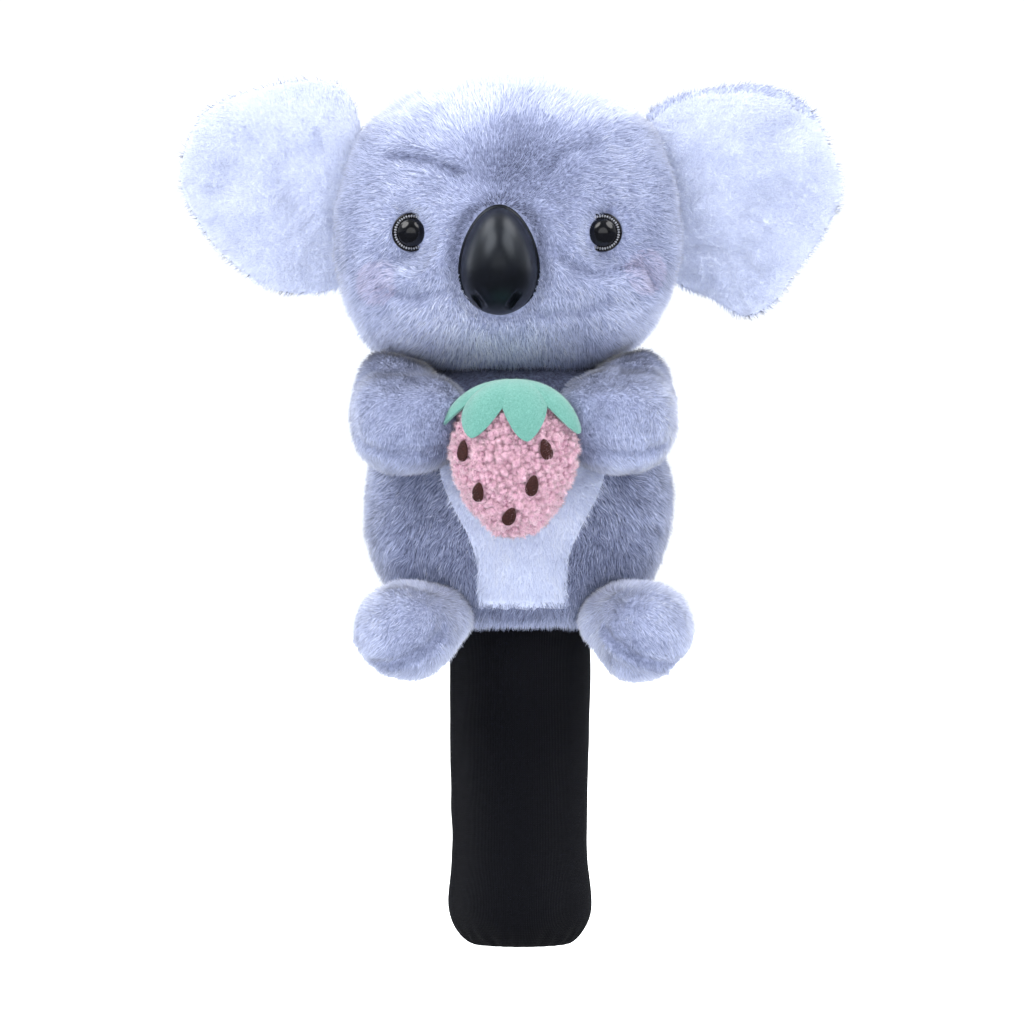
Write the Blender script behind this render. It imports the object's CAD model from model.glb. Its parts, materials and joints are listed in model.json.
import json
import math

import bmesh
import bpy
import numpy as np
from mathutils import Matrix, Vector


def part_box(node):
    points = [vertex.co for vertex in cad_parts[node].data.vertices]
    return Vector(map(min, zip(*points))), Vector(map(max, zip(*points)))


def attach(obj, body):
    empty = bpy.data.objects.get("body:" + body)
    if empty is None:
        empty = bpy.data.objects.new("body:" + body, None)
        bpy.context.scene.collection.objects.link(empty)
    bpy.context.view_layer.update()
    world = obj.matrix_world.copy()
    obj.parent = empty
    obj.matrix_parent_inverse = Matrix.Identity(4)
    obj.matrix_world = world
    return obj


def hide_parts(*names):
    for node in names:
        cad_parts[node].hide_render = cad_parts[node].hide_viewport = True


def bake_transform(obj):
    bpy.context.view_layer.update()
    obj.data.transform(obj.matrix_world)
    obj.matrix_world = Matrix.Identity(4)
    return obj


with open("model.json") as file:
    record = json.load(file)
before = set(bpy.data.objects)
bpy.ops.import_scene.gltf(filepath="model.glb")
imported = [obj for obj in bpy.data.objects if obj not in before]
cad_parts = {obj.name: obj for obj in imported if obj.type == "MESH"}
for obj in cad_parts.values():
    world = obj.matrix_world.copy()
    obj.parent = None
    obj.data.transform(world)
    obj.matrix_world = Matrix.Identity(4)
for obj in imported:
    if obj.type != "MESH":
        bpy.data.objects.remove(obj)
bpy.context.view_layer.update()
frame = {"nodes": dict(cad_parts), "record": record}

# A plush koala head cover for a golf driver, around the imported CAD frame.
# All forms are worked out in millimetres and turned into metres when a mesh is made.

MM = 0.001
SIDES = {"left": -1.0, "right": 1.0}
JOINTS = {joint["name"]: joint for joint in frame["record"]["behaviour"]["joints"]}

PILE = 1.2              # the roots of the pile lie this far under the CAD skins
PIECE_STRANDS = 49000   # most strands in one piece of fur
TONES = 64              # columns of tone in a fur piece's colour map
BLUSHES = 4             # rows of blush in the same map


# ---------------------------------------------------------------- frame helpers

def box(node):
    """Lowest and highest corner of a CAD node, in millimetres."""
    low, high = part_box(node)
    return np.array(low[:]) / MM, np.array(high[:]) / MM


def middle(node):
    low, high = box(node)
    return (low + high) / 2


def pivot(joint):
    return np.array(JOINTS[joint]["pos_m"]) / MM


def point(spot):
    return tuple(float(value) * MM for value in spot)


# ---------------------------------------------------------------- noise

def lattice(ix, iy, iz, seed):
    """A number from 0 to 1 for each lattice cell."""
    mix = (ix.astype(np.int64) * 374761393 + iy.astype(np.int64) * 668265263
           + iz.astype(np.int64) * 2147483647 + seed * 1274126177) & 0xFFFFFFFF
    mix = ((mix ^ (mix >> 13)) * 1274126177) & 0xFFFFFFFF
    mix = ((mix ^ (mix >> 16)) * 2246822519) & 0xFFFFFFFF
    return ((mix ^ (mix >> 15)) & 0xFFFFFF) / float(0xFFFFFF)


def ease(part, size=1.0):
    """From 0 to the size as the part goes from 0 to 1, level at both ends."""
    return size * part * part * (3 - 2 * part)


def noise(points, scale, seed):
    """Smooth noise from -1 to 1 with features of about that many millimetres."""
    spot = points / scale
    cell = np.floor(spot).astype(np.int64)
    part = ease(spot - cell)
    total = np.zeros(len(points))
    for step in np.ndindex(2, 2, 2):
        x, y, z = np.abs(1 - np.array(step) - part).T
        total += x * y * z * lattice(*(cell + step).T, seed)
    return total * 2 - 1


def vector_noise(points, scale, seed):
    return np.stack([noise(points, scale, seed + axis) for axis in range(3)], axis=1)


def nearest_tuft(points, scale, seed):
    """The jittered lattice point nearest to each point: the middle of its tuft."""
    cell = np.floor(points / scale).astype(np.int64)
    best = np.full(len(points), np.inf)
    centre = np.zeros_like(points)
    for step in np.ndindex(3, 3, 3):
        ids = cell + np.array(step) - 1
        jitter = np.stack([lattice(*ids.T, seed + axis) for axis in range(3)], axis=1)
        spot = (ids + 0.15 + 0.7 * jitter) * scale
        distance = ((spot - points) ** 2).sum(axis=1)
        nearer = distance < best
        best[nearer] = distance[nearer]
        centre[nearer] = spot[nearer]
    return centre


# ---------------------------------------------------------------- forms

def unit(vectors):
    return vectors / np.maximum(np.linalg.norm(vectors, axis=-1, keepdims=True), 1e-9)


def axes(outward):
    """Across and up, square to the way outward."""
    across = unit(np.cross(outward, [0, 0, 1.0]))
    return across, np.cross(across, outward)


def climb(values, start, width):
    """0 up to the start, then rising to 1 over the width."""
    return np.clip((values - start) / width, 0, 1)


def egg(points, centre, half, power=2.0, turn=None):
    """About the distance from a super-ellipsoid's surface, negative inside."""
    away = points - np.asarray(centre)
    if turn is not None:
        away = away @ turn
    reach = (np.abs(away / np.asarray(half)) ** power).sum(axis=1) ** (1 / power)
    return (reach - 1) * min(half)


def meld(first, second, width):
    """A smooth union of two fields."""
    part = np.clip(0.5 + 0.5 * (second - first) / width, 0, 1)
    return second * (1 - part) + first * part - width * part * (1 - part)


def trim(first, second, width):
    """A smooth common part of two fields."""
    return -meld(-first, -second, width)


def bump(points, centre, spread):
    """1 at the centre, falling to 0 over the spread along each axis."""
    away = (points - np.asarray(centre)) / np.asarray(spread)
    return np.exp(-(away ** 2).sum(axis=1))


def near_path(points, corners, width):
    """1 on a path through the corners, falling to 0 over the width."""
    return np.max([near_line(points, start, end, width) for start, end in zip(corners[:-1], corners[1:])],
                  axis=0)


def near_line(points, start, end, width):
    """1 on a line from start to end, falling to 0 over the width."""
    start, end = np.asarray(start, float), np.asarray(end, float)
    along = end - start
    part = np.clip(((points - start) @ along) / (along @ along), 0, 1)
    gap = np.linalg.norm(points - start - part[:, None] * along, axis=1)
    return np.exp(-(gap / width) ** 2)


def icosphere(level):
    mesh = bmesh.new()
    bmesh.ops.create_icosphere(mesh, subdivisions=level, radius=1.0)
    directions = np.array([vertex.co[:] for vertex in mesh.verts])
    faces = np.array([[vertex.index for vertex in face.verts] for face in mesh.faces])
    mesh.free()
    return unit(directions), faces


def star(centre, field, reach, level):
    """The surface of a field, seen from a centre from which all of it can be seen."""
    directions, faces = icosphere(level)
    origins = np.zeros_like(directions) + centre
    return cast(origins, directions, field, reach), faces


def cast(origins, directions, field, reach):
    """Where rays that start inside a field leave it."""
    low = np.zeros(len(directions))
    high = np.full(len(directions), float(reach))
    for _ in range(24):
        trial = (low + high) / 2
        inside = field(origins + trial[:, None] * directions) < 0
        low = np.where(inside, trial, low)
        high = np.where(inside, high, trial)
    return origins + low[:, None] * directions


def laid(corners, centre, field):
    """The corners of a path, moved along rays from the centre onto the surface of a field."""
    corners = np.asarray(corners, float)
    return cast(np.zeros_like(corners) + centre, unit(corners - centre), field, 120)


def slope(points, field):
    """The outward normal of a field at some points."""
    step = 0.4
    return unit(np.stack([field(points + axis * step) - field(points - axis * step)
                          for axis in np.eye(3)], axis=1))


def crosses(verts, faces):
    """Each face's normal, as long as twice its area."""
    a, b, c = (verts[faces[:, corner]] for corner in range(3))
    return np.cross(b - a, c - a)


def faced(surface, direction):
    """The surface with its faces wound so that they look along the direction, on the whole."""
    verts, faces = surface
    ahead = crosses(verts, faces).sum(axis=0) @ np.asarray(direction, float) > 0
    return (verts, faces) if ahead else (verts, faces[:, ::-1])


def faced_out(surface):
    """The closed surface with its faces wound outwards."""
    verts, faces = surface
    a, b, c = (verts[faces[:, corner]] for corner in range(3))
    volume = (np.cross(a, b) * c).sum()
    return (verts, faces) if volume > 0 else (verts, faces[:, ::-1])


def vertex_normals(verts, faces):
    cross = crosses(verts, faces)
    normals = np.zeros_like(verts)
    for corner in range(3):
        np.add.at(normals, faces[:, corner], cross)
    return unit(normals)


# the two triangles of a cell between two rows of points: (row, round) of each corner
ALONG = ((0, 0), (0, 1), (1, 1)), ((0, 0), (1, 1), (1, 0))
AGAINST = ((0, 0), (1, 0), (1, 1)), ((0, 0), (1, 1), (0, 1))
DOWNWARDS = ((1, 0), (1, 1), (0, 1)), ((1, 0), (0, 1), (0, 0))


def cells(rows, around, corners, first=0):
    """Triangles between rows of as many points each, by row, place round the row, triangle and corner."""
    index = np.arange(around)
    one = np.stack([[row * around + (index + step) % around for row, step in triangle]
                    for triangle in corners])
    return first + one.transpose(2, 0, 1) + around * np.arange(rows - 1)[:, None, None, None]


def scatter(surface, density, rng):
    """Points spread evenly over a surface, with their normals."""
    verts, faces = surface
    normals = vertex_normals(verts, faces)
    area = np.linalg.norm(crosses(verts, faces), axis=1) / 2
    count = int(area.sum() * density)
    steps = (np.arange(count) + rng.random(count)) / count
    chosen = np.searchsorted(np.cumsum(area) / area.sum(), steps)
    corners = faces[np.minimum(chosen, len(faces) - 1)]
    s, t = rng.random(count), rng.random(count)
    fold = s + t > 1
    s[fold], t[fold] = 1 - s[fold], 1 - t[fold]

    def spread(values):
        a, b, c = (values[corners[:, corner]] for corner in range(3))
        return a + s[:, None] * (b - a) + t[:, None] * (c - a)
    return spread(verts), unit(spread(normals))


# ---------------------------------------------------------------- meshes

def add(name, data):
    piece = bpy.data.objects.new(name, data)
    bpy.context.collection.objects.link(piece)
    return piece


def make_piece(name, surface, material, body, replaces):
    """An object from a surface in millimetres, with its material and slot, and the body that it rides on."""
    verts, faces = surface
    mesh = bpy.data.meshes.new(name)
    mesh.from_pydata((verts * MM).tolist(), [], faces.tolist())
    mesh.update()
    mesh.materials.append(material)
    mesh.shade_smooth()
    piece = add(name, mesh)
    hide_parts(*replaces)
    if body:
        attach(piece, body)
    return piece


def apply_modifiers(piece):
    """Turn a piece's modifiers into its mesh."""
    graph = bpy.context.evaluated_depsgraph_get()
    graph.update()
    made = bpy.data.meshes.new_from_object(piece.evaluated_get(graph))
    piece.modifiers.clear()
    piece.data = made


def thicken(piece, thickness):
    """Give a sheet a thickness in millimetres, inwards."""
    shell = piece.modifiers.new("cloth", "SOLIDIFY")
    shell.thickness = thickness * MM
    shell.offset = -1.0


def upright(vectors, normals):
    """The part of each vector that is along the normal."""
    return (vectors * normals).sum(axis=1)[:, None] * normals


def make_fur(name, surface, body, material, slot, density, length, width, lean, flow, tone, seed,
             keep=None, blush=None, tuft=2.4, gather=0.35, stray=0.30, seam=None, soft=0.72, back=0.55,
             grain=0.10):
    """Fur on a surface: closed three-sided spikes, gathered into tufts.
    length in millimetres, flow(points) is the way that the pile lies, lean how far it lies down,
    tone(points) from 0, dark, to 1, white, keep(points, normals) says where fur grows, and back is
    the share of the strands that the cover's back has, which are as much thicker."""
    rng = np.random.default_rng(seed)
    roots, normals = scatter(surface, density, rng)
    behind = np.clip(0.5 + normals[:, 1] * 1.5, 0, 1) if back < 1 else np.zeros(len(roots))
    kept = rng.random(len(roots)) > behind * (1 - back)
    if keep is not None:
        kept &= keep(roots, normals)
    roots, normals, behind = roots[kept], normals[kept], behind[kept]
    count = len(roots)
    way = flow(roots)
    way = way - upright(way, normals)
    swirl = vector_noise(roots, 13.0, seed + 5) * 0.5 + vector_noise(roots, 4.2, seed + 9) * 0.65
    swirl = swirl - upright(swirl, normals)
    aim = unit(normals + lean * (unit(way) + swirl) + stray * rng.normal(size=(count, 3)))
    tall = length(roots) if callable(length) else np.full(count, float(length))
    tall = tall * (0.72 + 0.5 * rng.random(count))
    tips = roots + aim * tall[:, None]

    centre = nearest_tuft(roots, tuft, seed + 21)
    centre = centre - upright(centre - roots, normals)
    tuft_lean = vector_noise(centre, tuft, seed + 31)
    tuft_tip = centre + unit(normals + lean * (unit(way) + swirl) + 0.35 * tuft_lean) * tall[:, None]
    pull = gather * (0.5 + 0.5 * rng.random(count))[:, None]
    tips = tips * (1 - pull) + tuft_tip * pull

    along = unit(tips - roots)
    side = unit(np.cross(along, normals + 0.31))
    other = np.cross(along, side)
    spin = rng.random(count) * math.tau
    thick = width * (0.7 + 0.6 * rng.random(count)) * (1 + 0.35 * behind)
    corners = []
    for corner in range(3):
        angle = spin + corner * math.tau / 3
        corners.append(roots - 0.4 * normals + thick[:, None] / 2
                       * (np.cos(angle)[:, None] * side + np.sin(angle)[:, None] * other))
    shade = np.clip(tone(roots) + grain * rng.normal(size=count), 0.0, 0.999)
    column = np.floor(shade * TONES)
    flush = np.zeros(count) if blush is None else np.clip(blush(roots), 0, 0.999)
    row = np.floor(flush * BLUSHES)

    groups = max(1, math.ceil(count / PIECE_STRANDS))
    order = rng.permutation(count)
    for group in range(groups):
        chosen = order[group::groups]
        number = len(chosen)
        verts = np.stack([*(ring[chosen] for ring in corners), tips[chosen]], axis=1)
        faces = np.arange(number)[:, None, None] * 4 + np.array([[0, 1, 3], [1, 2, 3], [2, 0, 3], [2, 1, 0]])
        faces = faces.transpose(1, 0, 2).reshape(-1, 3)
        label = name if groups == 1 else f"{name}_{group + 1}"
        mesh = bpy.data.meshes.new(label)
        mesh.vertices.add(number * 4)
        mesh.vertices.foreach_set("co", (verts.reshape(-1, 3) * MM).astype(np.float32).ravel())
        mesh.loops.add(number * 12)
        mesh.loops.foreach_set("vertex_index", faces.astype(np.int32).ravel())
        mesh.polygons.add(number * 4)
        mesh.polygons.foreach_set("loop_start", np.arange(number * 4, dtype=np.int32) * 3)
        mesh.update(calc_edges=True)

        strand = faces.ravel() // 4
        corner = faces.ravel() % 4
        across = np.array([-0.3, 0.0, 0.3, 0.0])[corner]
        high = np.where(corner == 3, 0.94, 0.06)
        uv = np.stack([(column[chosen][strand] + 0.5 + across) / TONES,
                       (row[chosen][strand] + high) / BLUSHES], axis=1)
        layer = mesh.uv_layers.new(name="OFBake")
        layer.data.foreach_set("uv", uv.astype(np.float32).ravel())

        out = verts - verts.mean(axis=1, keepdims=True)
        out[:, 3] = along[chosen] * 0.3
        facing = soft * normals[chosen][:, None, :] + (1 - soft) * unit(out)
        mesh.shade_smooth()
        mesh.normals_split_custom_set_from_vertices(unit(facing).reshape(-1, 3).astype(np.float32))
        mesh.materials.append(material)
        piece = add(label, mesh)
        if seam:
            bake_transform(piece)
        else:
            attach(piece, body)


# ---------------------------------------------------------------- materials

def srgb(red, green, blue):
    """A colour by its usual 0 to 255 values, as linear light."""
    linear = [value / 255 / 12.92 if value <= 10 else ((value / 255 + 0.055) / 1.055) ** 2.4
              for value in (red, green, blue)]
    return (*linear, 1.0)


class Nodes:
    """A short way to write a node tree."""

    def __init__(self, tree):
        self.tree = tree

    def put(self, value, socket):
        """Set a socket to a value, or link it to another node's output."""
        if isinstance(value, bpy.types.NodeSocket):
            self.tree.links.new(value, socket)
        else:
            socket.default_value = value

    def node(self, kind, inputs=(), **settings):
        node = self.tree.nodes.new("ShaderNode" + kind)
        for name, value in settings.items():
            setattr(node, name, value)
        for name, value in dict(inputs).items():
            self.put(value, node.inputs[name])
        return node

    def ramp(self, factor, stops):
        """A colour by a factor: each stop is (factor, colour), in 0 to 255 values or linear RGBA."""
        node = self.node("ValToRGB", {"Fac": factor})
        elements = node.color_ramp.elements
        while len(elements) < len(stops):
            elements.new(0.5)
        for element, (position, colour) in zip(elements, stops):
            element.position = position
            element.color = colour if len(colour) == 4 else srgb(*colour)
        return node.outputs["Color"]

    def mix(self, factor, first, second):
        return self.node("Mix", {0: factor, 6: first, 7: second}, data_type="RGBA").outputs[2]

    def sum(self, operation, first, second=0.0):
        return self.node("Math", {0: first, 1: second}, operation=operation).outputs[0]

    def place(self):
        return self.node("TexCoord").outputs["Object"]

    def grain(self, size):
        """Noise with features of about that many millimetres."""
        return self.node("TexNoise", {"Vector": self.place(), "Scale": 1 / (size * MM), "Detail": 3.0,
                                      "Roughness": 0.55}).outputs["Fac"]


class Shader(Nodes):
    """A Principled material, with sockets given by their names, _ for each space."""

    def __init__(self, name, **sockets):
        self.material = bpy.data.materials.new(name)
        self.material.use_nodes = True
        super().__init__(self.material.node_tree)
        self.bsdf = self.tree.nodes["Principled BSDF"]
        for socket, value in sockets.items():
            self.bsdf.inputs[socket.replace("_", " ")].default_value = value

    def colour(self, socket):
        self.put(socket, self.bsdf.inputs["Base Color"])

    def bump(self, height, strength, distance):
        """Bump from a height; distance is in millimetres."""
        node = self.node("Bump", {"Height": height, "Strength": strength, "Distance": distance * MM})
        self.put(node.outputs["Normal"], self.bsdf.inputs["Normal"])


def grained(name, size, stops, bump, **sockets):
    """A material whose colour has a grain of that size, with a bump: its grain's size, strength, distance."""
    shader = Shader(name, **sockets)
    shader.colour(shader.ramp(shader.grain(size), stops))
    shader.bump(shader.grain(bump[0]), *bump[1:])
    return shader.material


def fur_material(name, tips, roots, blush=(232, 200, 220)):
    """Pile whose colour runs from root to tip, by the tone and blush in its map."""
    shader = Shader(name, Roughness=0.8, Sheen_Weight=0.35, Sheen_Roughness=0.4, Specular_IOR_Level=0.15)
    place = shader.node("UVMap", uv_map="OFBake").outputs["UV"]
    split = shader.node("SeparateXYZ", {"Vector": place})
    rows = shader.sum("MULTIPLY", split.outputs["Y"], float(BLUSHES))
    high = shader.sum("FRACT", rows)
    row = shader.sum("DIVIDE", shader.sum("FLOOR", rows), BLUSHES - 1.0)
    tip = shader.mix(shader.sum("MULTIPLY", row, 0.55), shader.ramp(split.outputs["X"], tips), srgb(*blush))
    rise = shader.node("MapRange", {"Value": high, "From Min": 0.05, "From Max": 0.62},
                       interpolation_type="SMOOTHSTEP")
    shader.colour(shader.mix(rise.outputs["Result"], shader.ramp(split.outputs["X"], roots), tip))
    return shader.material


def under_material(name, dark, light):
    """The close underfur and backing cloth that shows between the tufts."""
    return grained(name, 1.6, [(0.3, dark), (0.72, light)], (0.9, 0.6, 0.5), Roughness=0.95, Sheen_Weight=0.2)


GREY_UNDER = under_material("grey_under", (112, 119, 152), (166, 175, 210))
BODY_UNDER = under_material("body_under", (66, 72, 96), (112, 120, 152))
LIMB_UNDER = under_material("limb_under", (116, 124, 156), (166, 175, 208))
WHITE_UNDER = under_material("white_under", (190, 199, 230), (220, 228, 250))
# each coat: the material of its pile and the slot of its finish
GREY = fur_material("grey_fur", [(0.0, (80, 86, 112)), (0.35, (132, 141, 174)), (0.6, (180, 189, 222)),
                                 (0.8, (214, 222, 248)), (1.0, (244, 248, 255))],
                    [(0.0, (48, 52, 70)), (0.35, (92, 99, 128)), (0.6, (140, 149, 184)),
                     (0.8, (184, 193, 226)), (1.0, (230, 236, 252))]), "grey_plush"
WHITE = fur_material("white_fur", [(0.0, (176, 186, 222)), (0.5, (216, 225, 252)), (1.0, (248, 250, 255))],
                     [(0.0, (156, 166, 204)), (0.5, (202, 211, 242)), (1.0, (238, 243, 255))]), "white_plush"


# ---------------------------------------------------------------- head

HEAD_UP = 61.5          # half the head's height
HEAD_LOW, HEAD_HIGH = box("head_skin")
HEAD = np.array([(HEAD_LOW[0] + HEAD_HIGH[0]) / 2, 0.0, HEAD_HIGH[2] - HEAD_UP])
HEAD_HALF = np.array([(HEAD_HIGH[0] - HEAD_LOW[0]) / 2, HEAD_HIGH[1], HEAD_UP]) - PILE
HEAD_HEART = HEAD + [0, -4, 0]      # all of the head's surface can be seen from here
NOSE_LOW, NOSE_HIGH = box("nose")
NOSE_WIDE, _, NOSE_TALL = (NOSE_HIGH - NOSE_LOW) / 2
NOSE = np.array([(NOSE_LOW[0] + NOSE_HIGH[0]) / 2, box("nose_washer")[0][1] - 4.0,
                 (NOSE_LOW[2] + NOSE_HIGH[2]) / 2])
EYE_FLANGE = 8.3        # the radius of an eye's flange
EYE_TURN = -0.05        # how far each eye looks sideways, outwards: less than 0 is towards the nose


def eye_frame(word):
    """An eye's middle on the face and the way it looks, from its ring and its washer."""
    ring, washer = middle("eye_ring_" + word), middle("eye_washer_" + word)
    outward = unit(ring - washer)
    return ring - outward * 2.0, unit(outward * [0, 1, 1] + [SIDES[word] * EYE_TURN, 0, 0])


EYES = {word: eye_frame(word) for word in SIDES}


# creases of the face, each with its depth and width: paths of (across, forward, up) from the head's middle
CREASES = (
    (3.6, 2.4, [(-50, -44, 27), (-34, -56, 25), (-20, -60, 19)]),
    (3.2, 2.2, [(12, -66, -8), (26, -62, -20), (38, -56, -24), (54, -42, -18)]),
    (2.4, 2.4, [(54, -42, -18), (60, -34, -27)]),
    (2.0, 2.6, [(-24, -62, -30), (-38, -56, -34), (-50, -46, -29)]),
    (1.1, 2.8, [(16, -58, 18), (24, -56, 27), (38, -50, 31)]),
    (2.0, 2.4, [(14, -60, -40), (30, -56, -40), (40, -50, -34)]),
)


def bare_head(points):
    """The head before its creases and lumps."""
    skull = egg(points, HEAD + [0.5, 0, 0], HEAD_HALF + [-0.8, 0.5, 0.6], 2.45)
    cheeks = egg(points, HEAD + [-1, -8, -23.5], (62, 50, 41.5), 2.6)
    muzzle = egg(points, (NOSE[0], -29, NOSE[2] - 3), (34, NOSE[1] - NOSE_LOW[1] + 15.5, 33), 2.8)
    return meld(meld(skull, cheeks, 12), muzzle, 9)


CREASE_PATHS = [(deep, wide, laid(HEAD + np.array(path, float), HEAD_HEART, bare_head))
                for deep, wide, path in CREASES]


def face_creases(points):
    """How deep the face is creased at some points, and 1 to 0 for how close they are to a crease."""
    depth, close = np.zeros(len(points)), np.zeros(len(points))
    for deep, wide, path in CREASE_PATHS:
        near = near_path(points, path, wide)
        depth += deep * near
        close = np.maximum(close, near * deep / CREASES[0][0])
    return depth, close


def head_field(points):
    form = bare_head(points)
    # the plush swells above the brow's crease and under the cheek's
    for (_, wide, path), swell in zip(CREASE_PATHS, (5, -5)):
        form -= 1.2 * near_path(points, path + [0, 0, swell], wide + 2)
    form += face_creases(points)[0]
    form += 1.1 * noise(points, 26.0, 3) + 0.8 * noise(points, 11.0, 4)
    return form


def press(verts, centre, outward, inner, outer, level, rise, stretch=(1.0, 1.0)):
    """Press a surface down to a seat round a hard piece: flat inside inner, sloping out to outer."""
    outward = unit(np.asarray(outward, float))
    across, up = axes(outward)
    away = verts - centre
    height = away @ outward
    radial = np.hypot((away @ across) / stretch[0], (away @ up) / stretch[1])
    ceiling = level + ease(climb(radial, inner, outer - inner), rise)
    over = np.where((radial < outer) & (height > -15), np.maximum(height - ceiling, 0), 0)
    return verts - over[:, None] * outward


def raise_to(verts, centre, outward, inner, outer, level):
    """Raise a surface up to a flat seat round a hard piece, and back to itself by the outer radius."""
    away = verts - centre
    height = away @ outward
    radial = np.linalg.norm(away - height[:, None] * outward, axis=1)
    weight = np.where(np.abs(height) < 16, 1 - ease(climb(radial, inner, outer - inner)), 0)
    return verts + (np.maximum(level - height, 0) * weight)[:, None] * outward


def make_head():
    verts, faces = star(HEAD_HEART, head_field, 110, 6)
    verts = press(verts, NOSE, (0, -1, 0), 1.0, 1.6, 0.2, 3.6, (NOSE_WIDE, NOSE_TALL))
    seat, slack = -0.9, 17.0    # the level of an eye's seat, and the radius of the dimple round it
    for word, (centre, outward) in EYES.items():
        verts = press(verts, centre, unit(centre - middle("eye_washer_" + word)), 8.6, slack, seat, 5.0)
        verts = raise_to(verts, centre, outward, 8.2, slack, seat)
    surface = (verts, faces)
    head = make_piece("head_plush", surface, GREY_UNDER, "head", ("head_skin", "head_stuffing"))

    def keep(spots, normals):
        under = 0.8         # the pile starts this far under the nose's rim
        nose = (((spots[:, 0] - NOSE[0]) / (NOSE_WIDE - under)) ** 2
                + ((spots[:, 2] - NOSE[2]) / (NOSE_TALL - under)) ** 2)
        clear = (nose > 1) | (spots[:, 1] > -30)
        for centre, _ in EYES.values():
            clear &= np.linalg.norm(spots - centre, axis=1) > EYE_FLANGE + 0.1
        neck = (np.linalg.norm((spots - pivot("head_turn"))[:, :2], axis=1) < 26) & (spots[:, 2] < 262)
        return clear & ~neck

    def flow(spots):
        out = unit(spots - (NOSE + [0, 6, 10]))
        return 0.8 * out + np.array([0, 0.15, -0.45])

    def length(spots):
        face = bump(spots, NOSE + [0, 4, 4], (26, 30, 30))
        tall = (3.9 - 0.9 * face) * (1 - 0.45 * face_creases(spots)[1])
        for centre, _ in EYES.values():
            tall -= 1.5 * bump(spots, centre, (13, 13, 13))
        return np.clip(tall, 1.6, 9)

    def tone(spots):
        across, up = spots[:, 0] - HEAD[0], spots[:, 2] - HEAD[2]
        front = np.clip(-spots[:, 1] / 30, 0, 1)
        shade = 0.635 + 0.07 * noise(spots, 7.0, 41) + 0.06 * noise(spots, 22.0, 42)
        shade += 0.05 * np.clip(up / HEAD_HALF[2], -1, 0.6) - 0.05 * np.abs(across) / HEAD_HALF[0]
        middle_face = bump(spots, (NOSE[0] + 4, -55, NOSE[2] + 2), (44, 50, 44))
        shade += 0.08 * front * middle_face * noise(spots, 2.2, 43)
        # the forehead's dark patch and its right edge, under the nose, the muzzle, and the left cheek
        for darker, centre, spread in ((0.46, (HEAD[0] + 4, -50, HEAD[2] + 20), (19, 40, 18)),
                                       (0.14, (HEAD[0] + 34, -50, HEAD[2] + 24), (14, 40, 12)),
                                       (0.08, (NOSE[0], -55, NOSE[2] - 28), (12, 30, 5)),
                                       (-0.15, (NOSE[0], -50, NOSE[2] - 36), (30, 40, 9)),
                                       (0.08, (HEAD[0] - 48, -40, HEAD[2] - 31), (16, 40, 16))):
            shade -= darker * front * bump(spots, centre, spread)
        edge = np.hypot((spots[:, 0] - NOSE[0]) / NOSE_WIDE, (spots[:, 2] - NOSE[2]) / NOSE_TALL)
        ring = np.exp(-(np.clip(edge - 1.0, 0, 9) / 0.15) ** 2)
        shade -= 0.45 * front * ring * np.clip((spots[:, 2] - NOSE[2] + 8) / 14, 0.1, 1)
        shade += 0.12 * climb(up, 36, 12) + 0.11 * climb(-up, 14, 26) - 0.10 * climb(np.abs(across), 48, 20)
        at_ear = np.exp(-((spots[:, 1] + 3) / 5) ** 2) * (np.abs(spots[:, 2] - 322) < 36)
        shade -= 0.26 * at_ear * climb(np.abs(across), 58, 6)
        return np.clip(shade - 0.34 * face_creases(spots)[1], 0.04, 0.98)

    def blush(spots):
        return 0.45 * (bump(spots, (HEAD[0] + 57, -40, HEAD[2] - 22), (13, 26, 12))
                       + bump(spots, (HEAD[0] - 53, -40, HEAD[2] - 26), (13, 26, 12)))

    make_fur("head_fur", surface, "head", *GREY, 2.6, length, 0.29, 1.05, flow, tone, 101, keep=keep,
             blush=blush, grain=0.12)


make_head()


# ---------------------------------------------------------------- torso and belly

TORSO_HIGH = box("torso_skin")[1]
TORSO = np.array([0.0, 0.0, 190.5])
TORSO_HALF = np.array([TORSO_HIGH[0], TORSO_HIGH[1], 59.5]) - PILE
HEM_LEVEL = pivot("sleeve_bend")[2] + 2.6   # the plush ends here, and its pile hangs over the sleeve
MOUTH = box("sleeve_knit")[1][0] + 0.3      # the radius of the torso's mouth, round the sleeve's top
UNDERSIDE = TORSO[2] - 30                   # the mouth is below this height
BELLY_LOW, BELLY_HIGH = box("belly_panel")
BELLY_MIDDLE = 1.0                          # across


def torso_field(points):
    trunk = egg(points, TORSO - [0.9, 0, 0], TORSO_HALF + [-0.6, 0, 0.5], 2.2)
    neck = egg(points, pivot("head_nod") + [0, 0, 14], (44, 42, 28), 2.2)
    form = trim(meld(trunk, neck, 14), HEM_LEVEL - points[:, 2], 4)
    return form + (0.9 * noise(points, 28.0, 13) + 0.4 * noise(points, 12.0, 14))


def hem_tone(spots):
    return np.clip(0.56 + 0.10 * noise(spots, 4.0, 55), 0, 0.95)


def belly_half(heights):
    """Half the width of the belly panel at each height."""
    return 19.0 + ease(np.clip((heights - BELLY_LOW[2] - 16) / 45, 0, 1), 16.0)


def on_belly(spots, margin=0.0, hem=0.0):
    """Whether spots are on the belly panel, widened by the margin and without a strip at its hem."""
    inside = np.abs(spots[:, 0] - BELLY_MIDDLE) < belly_half(spots[:, 2]) + margin
    inside &= (spots[:, 2] > BELLY_LOW[2] + max(hem, -margin)) & (spots[:, 2] < BELLY_HIGH[2] + margin)
    return inside & (spots[:, 1] < -12)


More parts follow.
